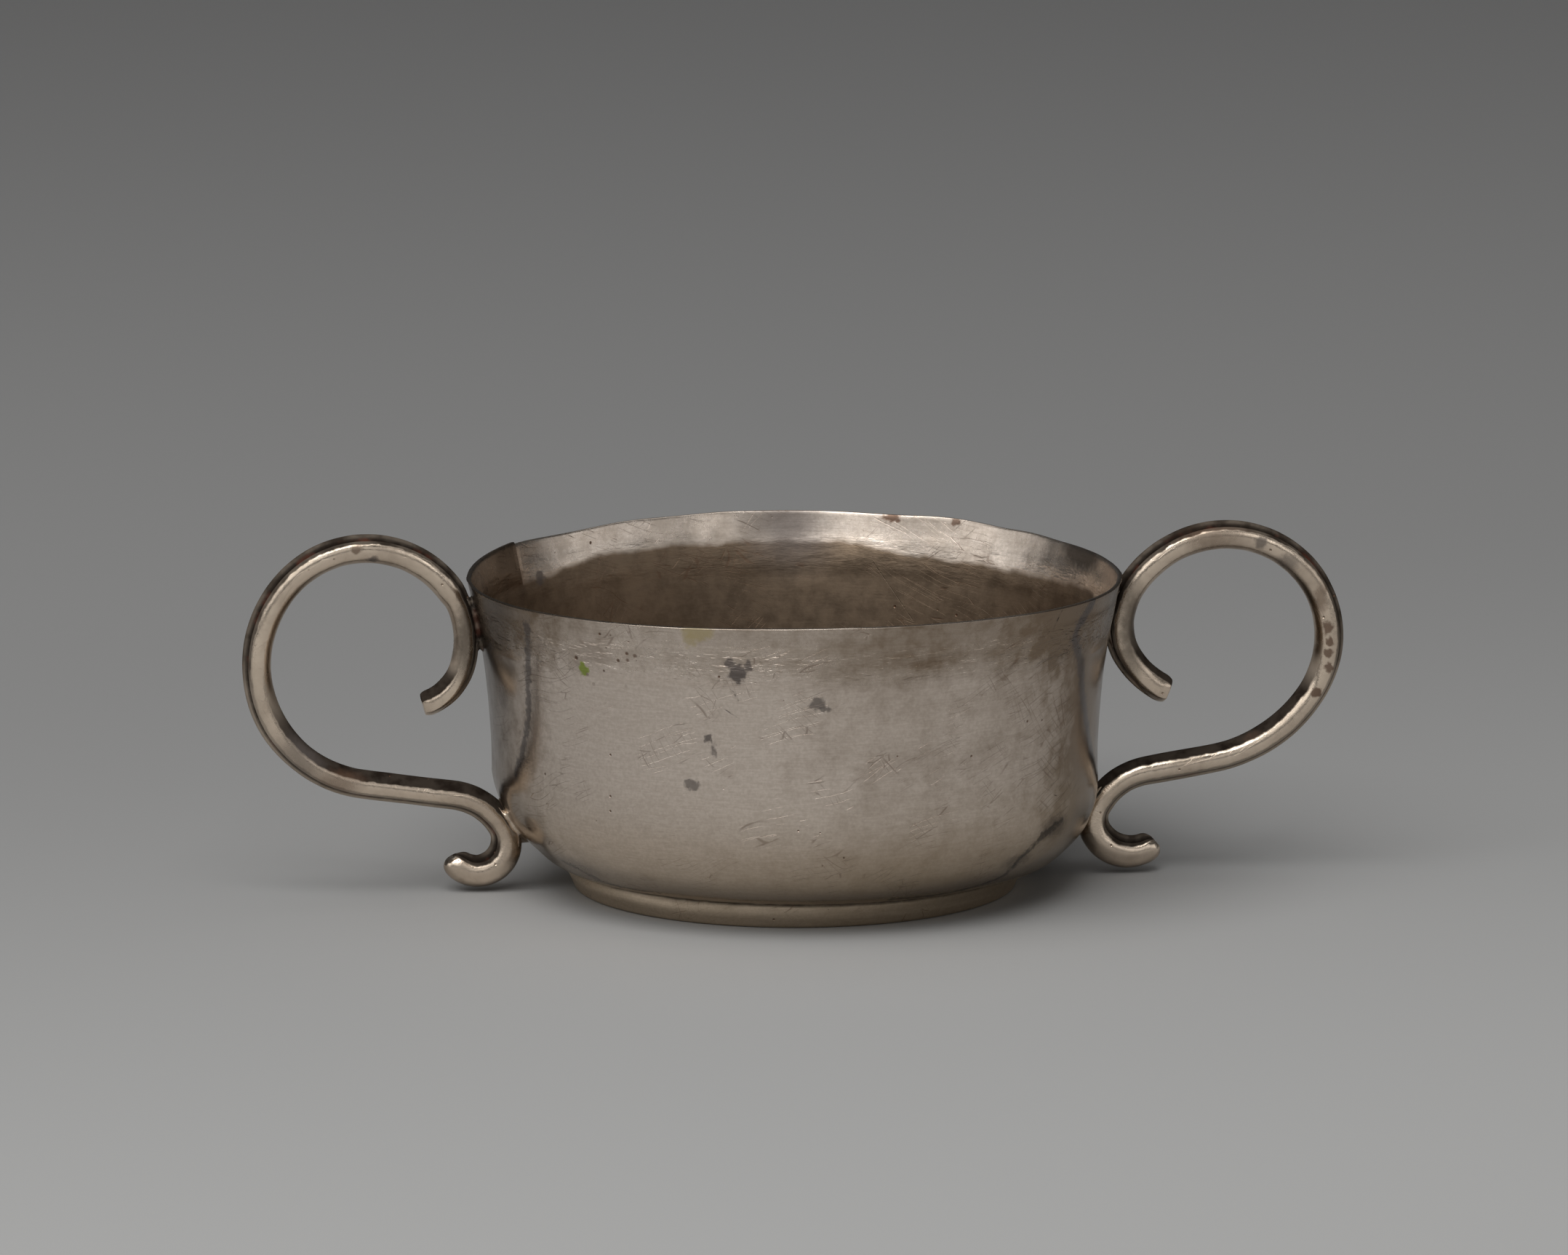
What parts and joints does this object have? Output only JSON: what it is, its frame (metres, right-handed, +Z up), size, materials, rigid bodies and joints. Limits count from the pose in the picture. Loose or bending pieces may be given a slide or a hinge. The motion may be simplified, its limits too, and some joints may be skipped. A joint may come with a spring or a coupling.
{
  "type": "two-handled cup",
  "caption": "Low round silver cup with a flared rim, a stepped foot band and two upright scrolled wire handles soldered to its sides.",
  "frame": {"origin": "centre of the flat base, on the surface that the cup stands on", "axes": "+Z up the cup's axis through the mouth, +X towards the right handle as the picture shows it, +Y away from the picture's viewer"},
  "size_m": [0.1258, 0.074, 0.0413],
  "materials": {
    "bowl_silver": "raised and planished by hand, satin with warm grey tarnish, stains and pits",
    "handle_silver": "drawn and filed wire, rubbed bright on its round flanks, dark in the grooves",
    "solder": "dull silver solder with dark tarnish at its edges"
  },
  "bodies": {
    "root": {"bowl": "bowl_silver", "left_handle": "handle_silver", "right_handle": "handle_silver", "left_upper_solder": "solder", "left_lower_solder": "solder", "right_upper_solder": "solder", "right_lower_solder": "solder"}
  },
  "joints": []
}
